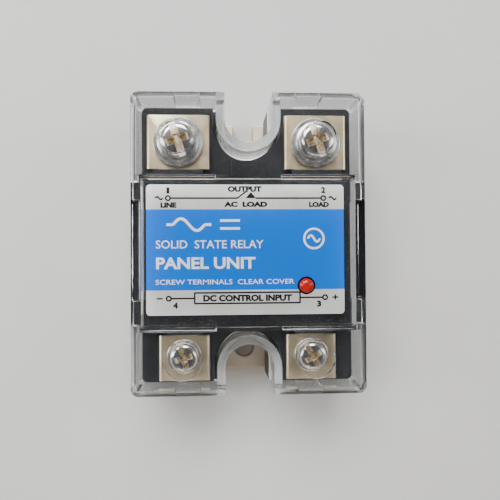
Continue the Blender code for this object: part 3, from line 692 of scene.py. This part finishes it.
def flat_washer(number):
    """A flat ring with rounded edges."""
    node = f"flat_washer_{number}"
    low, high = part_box(node)
    centre = (low + high) / 2
    outer, bore = (high.x - low.x) / 2, WASHER_BORES[number]
    half, round_off = (high.z - low.z) / 2, 0.16 * MM
    profile = []
    for cx, cz, start in ((outer, half, 0), (bore, half, 90), (bore, -half, 180), (outer, -half, 270)):
        inward = -round_off if cx == outer else round_off
        point = (cx + inward, cz - math.copysign(round_off, cz))
        profile += arc(point, round_off, start, start + 90, 4)
    piece = make_piece(f"{node}_ring", lathe(node, profile, closed=True), "washer", centre)
    smooth(piece)
    add_modifier(piece, "shade", "WEIGHTED_NORMAL", keep_sharp=True)
    attach(piece, f"clamp_{number}", node)


def spring_washer(number):
    """A split ring whose two ends stand apart along a slight helix."""
    node = f"spring_washer_{number}"
    low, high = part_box(node)
    centre = (low + high) / 2
    outer, bore = (high.x - low.x) / 2, WASHER_BORES[number]
    rise = 0.14 * MM
    half, ease = (high.z - low.z - rise) / 2, 0.1 * MM
    section = [(outer, -half + ease), (outer, half - ease), (outer - ease, half), (bore + ease, half),
               (bore, half - ease), (bore, -half + ease), (bore + ease, -half), (outer - ease, -half)]
    steps, first_end, sweep = 80, 97, 346
    points, faces = [], []
    for i in range(steps + 1):
        angle = math.radians(first_end + sweep * i / steps)
        lift = rise * (i / steps - 0.5)
        points += [(r * math.cos(angle), r * math.sin(angle), z + lift) for r, z in section]
    sides = len(section)
    for i in range(0, steps * sides, sides):
        for j in range(sides):
            k = (j + 1) % sides
            faces.append((i + j, i + k, i + sides + k, i + sides + j))
    faces += [tuple(range(sides)), tuple(range(steps * sides, (steps + 1) * sides))]
    piece = make_piece(f"{node}_coil", from_faces(node, points, faces), "washer", centre)
    ease_edges(piece, 0.05 * MM, angle=50, segments=2)
    attach(piece, f"clamp_{number}", node)


# ---------------------------------------------------------------- label, print and lamp

def rounded_outline(low, high, corner):
    """A rectangle with rounded corners."""
    outline = []
    for x, y, start in ((high.x, high.y, 0), (low.x, high.y, 90), (low.x, low.y, 180), (high.x, low.y, 270)):
        centre = (x - math.copysign(corner, x - (low.x + high.x) / 2),
                  y - math.copysign(corner, y - (low.y + high.y) / 2))
        outline += arc(centre, corner, start, start + 90, 6)
    return outline


def rating_label():
    """The label film with its lamp hole; gives back the height of its face."""
    low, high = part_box("rating_label")
    lamp = centre_of("indicator_led")
    film = prism("label", rounded_outline(low, high, 0.8 * MM), low.z, high.z)
    plate = make_piece("rating_label_plate", film, "label")
    hole = arc((lamp.x, lamp.y), 1.8 * MM, 0, 360, 64)[:-1]
    carve(plate, prism("hole", hole, low.z - MM, high.z + MM))
    ease_edges(plate, 0.05 * MM, segments=2)
    attach(plate, "relay", "rating_label")
    return high.z


def text_mesh(words, centre, width, height, bold):
    """Plain lettering fitted to a width and a capital height, in millimetres."""
    curve = bpy.data.curves.new("lettering", "FONT")
    curve.body = words
    curve.align_x = "CENTER"
    half_thick = 0.5
    curve.extrude = half_thick
    curve.offset = bold
    curve.resolution_u = 3
    holder = bpy.data.objects.new("lettering", curve)
    bpy.context.scene.collection.objects.link(holder)
    bpy.context.view_layer.update()
    mesh = bpy.data.meshes.new_from_object(holder.evaluated_get(bpy.context.evaluated_depsgraph_get()))
    bpy.data.objects.remove(holder)
    xs = [v.co.x for v in mesh.vertices]
    ys = [v.co.y for v in mesh.vertices]
    wide = width / (max(xs) - min(xs))
    tall = height / (max(ys) - min(ys))
    middle = ((max(xs) + min(xs)) / 2, (max(ys) + min(ys)) / 2)
    for vertex in mesh.vertices:
        vertex.co.x = (vertex.co.x - middle[0]) * wide + centre[0]
        vertex.co.y = (vertex.co.y - middle[1]) * tall + centre[1]
        vertex.co.z = vertex.co.z / half_thick
    return mesh


def stroke_mesh(points, width):
    """A flat line of constant width through points, closed above and below."""
    left, right = [], []
    for i, point in enumerate(points):
        before, after = points[max(0, i - 1)], points[min(len(points) - 1, i + 1)]
        along = Vector((after[0] - before[0], after[1] - before[1])).normalized()
        side = Vector((-along.y, along.x)) * width / 2
        left.append((point[0] + side.x, point[1] + side.y))
        right.append((point[0] - side.x, point[1] - side.y))
    points, faces, count = [], [], len(left)
    for a, b in zip(left, right):
        points += [(*a, 1), (*b, 1), (*a, -1), (*b, -1)]
    for i in range(count - 1):
        k = 4 * i
        faces += [(k, k + 1, k + 5, k + 4), (k + 2, k + 6, k + 7, k + 3), (k, k + 4, k + 6, k + 2),
                  (k + 1, k + 3, k + 7, k + 5)]
    faces += [(0, 2, 3, 1), (4 * count - 4, 4 * count - 3, 4 * count - 1, 4 * count - 2)]
    return from_faces("stroke", points, faces)


def ring_mesh(centre, radius, width):
    """A circle drawn with a line of constant width."""
    return stroke_mesh(arc(centre, radius, 0, 360, 40), width)


def wave(centre, width, height, steps=20):
    """Points along one full sine wave."""
    shares = [i / steps for i in range(steps + 1)]
    return [(centre[0] + width * (t - 0.5), centre[1] + height / 2 * math.sin(2 * math.pi * t))
            for t in shares]


def dark_print():
    """Circuit marks and words on the silver strips."""
    line, sign, top, foot = 0.33, 0.3, 9.25, -11.0
    ends = ((-16.1, top), (15.5, top), (-16.0, foot), (15.7, foot))
    shapes = [ring_mesh(place, 0.45, line) for place in ends]
    shapes += [stroke_mesh(wave((x, top), 1.5, 0.55), 0.34) for x in (-17.9, 17.4)]
    shapes += [
        stroke_mesh([(-15.6, top), (-2.1, top), (-0.2, top + 1.45)], line),
        stroke_mesh([(1.6, top), (15.0, top)], line),
        prism("mark", [(-0.4, top), (1.7, top), (0.65, top + 1.25)], -1, 1),
        stroke_mesh([(-15.5, foot), (-10.9, foot)], line),
        stroke_mesh([(10.6, foot), (15.2, foot)], line),
        stroke_mesh([(-18.4, foot), (-17.2, foot)], sign),
        stroke_mesh([(17.2, foot), (18.4, foot)], sign),
        stroke_mesh([(17.8, foot - 0.55), (17.8, foot + 0.55)], sign),
        stroke_mesh([(-10.9, -12.05), (10.65, -12.05)], line),
        stroke_mesh([(-10.9, -9.9), (10.65, -9.9)], line),
        stroke_mesh([(-10.8, -12.05), (-10.8, -9.9)], line),
        stroke_mesh([(10.55, -12.05), (10.55, -9.9)], line),
        text_mesh("1", (-16.1, 10.8), 0.6, 1.25, 0.05),
        text_mesh("2", (15.5, 10.9), 0.9, 1.25, 0.06),
        text_mesh("4", (-14.65, -12.4), 0.95, 1.25, 0.06),
        text_mesh("3", (14.45, -12.3), 0.9, 1.25, 0.06),
        text_mesh("OUTPUT", (-0.6, 11.1), 6.9, 1.2, 0.065),
        text_mesh("AC  LOAD", (-0.4, 8.0), 8.8, 1.1, 0.065),
        text_mesh("LINE", (-16.0, 7.85), 3.2, 1.1, 0.065),
        text_mesh("LOAD", (14.6, 7.95), 4.1, 1.1, 0.065),
        text_mesh("DC CONTROL INPUT", (-0.1, foot), 18.0, 1.35, 0.055),
    ]
    return shapes


def light_print():
    """Plain wording and a wave symbol on the blue field."""
    return [
        stroke_mesh(wave((-11.9, 3.9), 6.4, 2.4, 48), 0.55),
        stroke_mesh([(-16.4, 3.9), (-15.1, 3.9)], 0.55),
        stroke_mesh([(-8.7, 3.9), (-7.4, 3.9)], 0.55),
        stroke_mesh([(-5.6, 4.7), (-1.6, 4.7)], 0.5),
        stroke_mesh([(-5.6, 3.1), (-1.6, 3.1)], 0.5),
        text_mesh("SOLID  STATE RELAY", (-7.7, -0.1), 21.7, 1.65, 0.006),
        text_mesh("PANEL UNIT", (-8.5, -3.9), 20.0, 2.4, 0.03),
        text_mesh("SCREW TERMINALS  CLEAR COVER", (-4.6, -7.7), 28.0, 1.0, 0.004),
        ring_mesh((13.5, 1.0), 2.0, 0.42),
        stroke_mesh(wave((13.5, 1.0), 2.5, 1.3, 32), 0.42),
    ]


def print_layer(name, shapes, material, label_top):
    """Join printed shapes into one thin closed layer on the label."""
    shape = bmesh.new()
    for mesh in shapes:
        shape.from_mesh(mesh)
        bpy.data.meshes.remove(mesh)
    for vertex in shape.verts:
        lift = PRINT_LIFT if vertex.co.z > 0 else -PRINT_LIFT
        vertex.co = (vertex.co.x * MM, vertex.co.y * MM, label_top + lift * MM)
    mesh = bpy.data.meshes.new(name)
    shape.to_mesh(mesh)
    shape.free()
    piece = make_piece(name, mesh, material)
    attach(piece, "relay")


def indicator_lamp():
    """A round lamp with a low dome."""
    low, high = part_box("indicator_led")
    centre = (low + high) / 2
    radius = 1.5 * MM
    dome = high.z - radius * 0.62
    profile = [(0, low.z - high.z), (radius, low.z - high.z)]
    steps = 14
    for i in range(steps):
        angle = math.radians(90 * i / steps)
        profile.append((radius * math.cos(angle), dome - high.z + (high.z - dome) * math.sin(angle)))
    profile.append((0, 0))
    piece = make_piece("indicator_lamp_lens", lathe("lamp", profile), "lamp", (centre.x, centre.y, high.z))
    smooth(piece)
    attach(piece, "relay", "indicator_led")


# ---------------------------------------------------------------- stage

def pale_floor():
    """A plain pale floor just under the part."""
    half = 1.5
    corners = [(-half, -half, 0), (half, -half, 0), (half, half, 0), (-half, half, 0)]
    mesh = from_faces("floor", corners, [(0, 1, 2, 3)])
    floor = bpy.data.objects.new("floor", mesh)
    bpy.context.scene.collection.objects.link(floor)
    floor.location.z = Vector(cad_box[0]).z - 0.02 * MM
    s = surface("floor_pale", (0.80, 0.80, 0.79), (0.77, 0.77, 0.76), (0.6, 0.75), blotch=30 * MM,
                grain=1 * MM, relief=2e-6, speckle=0.01)
    mesh.materials.append(s.material)


def soft_light(name, place, size, power, colour):
    """A rectangular lamp at a place, turned towards the part."""
    data = bpy.data.lights.new(name, "AREA")
    data.shape = "RECTANGLE"
    data.size, data.size_y = size
    data.energy = power
    data.color = colour
    lamp = bpy.data.objects.new(name, data)
    bpy.context.scene.collection.objects.link(lamp)
    lamp.location = place
    lamp.rotation_euler = (-Vector(place)).to_track_quat("-Z", "Y").to_euler()


def studio():
    """A dim even surround, a key light behind the output end and three weaker strips."""
    world = bpy.data.worlds.new("studio")
    world.use_nodes = True
    background = world.node_tree.nodes["Background"]
    background.inputs["Color"].default_value = (0.90, 0.93, 1.0, 1)
    background.inputs["Strength"].default_value = 0.10
    bpy.context.scene.world = world
    soft_light("key", (-0.10, 0.40, 0.46), (0.50, 0.24), 5.2, (1.0, 0.99, 0.97))
    soft_light("left_strip", (-0.46, 0.05, 0.26), (0.16, 0.50), 1.6, (0.96, 0.98, 1.0))
    soft_light("right_strip", (0.46, 0.08, 0.26), (0.16, 0.50), 0.9, (0.96, 0.98, 1.0))
    soft_light("warm_strip", (0.0, -0.46, 0.26), (0.50, 0.14), 0.6, (1.0, 0.80, 0.60))


def camera():
    """A camera over the part, placed from the top middle of the CAD box."""
    data = bpy.data.cameras.new("camera")
    data.sensor_width = 36
    data.lens = CAMERA_LENS
    data.clip_start = 0.005
    holder = bpy.data.objects.new("camera", data)
    bpy.context.scene.collection.objects.link(holder)
    low, high = Vector(cad_box[0]), Vector(cad_box[1])
    top_middle = Vector(((low.x + high.x) / 2, (low.y + high.y) / 2, high.z))
    holder.location = top_middle + Vector(CAMERA_OFFSET)
    holder.rotation_euler = Euler([math.radians(a) for a in CAMERA_TILT], "XYZ")
    bpy.context.scene.camera = holder


dress_cad_nodes()
clear_cover()
for entry in SCREWS:
    terminal_plate(entry[0], entry[1])
    terminal_screw(*entry)
    flat_washer(entry[0])
    spring_washer(entry[0])
label_top = rating_label()
print_layer("label_print_dark", dark_print(), "dark_ink", label_top)
print_layer("label_print_light", light_print(), "white_ink", label_top)
indicator_lamp()
pale_floor()
studio()
camera()
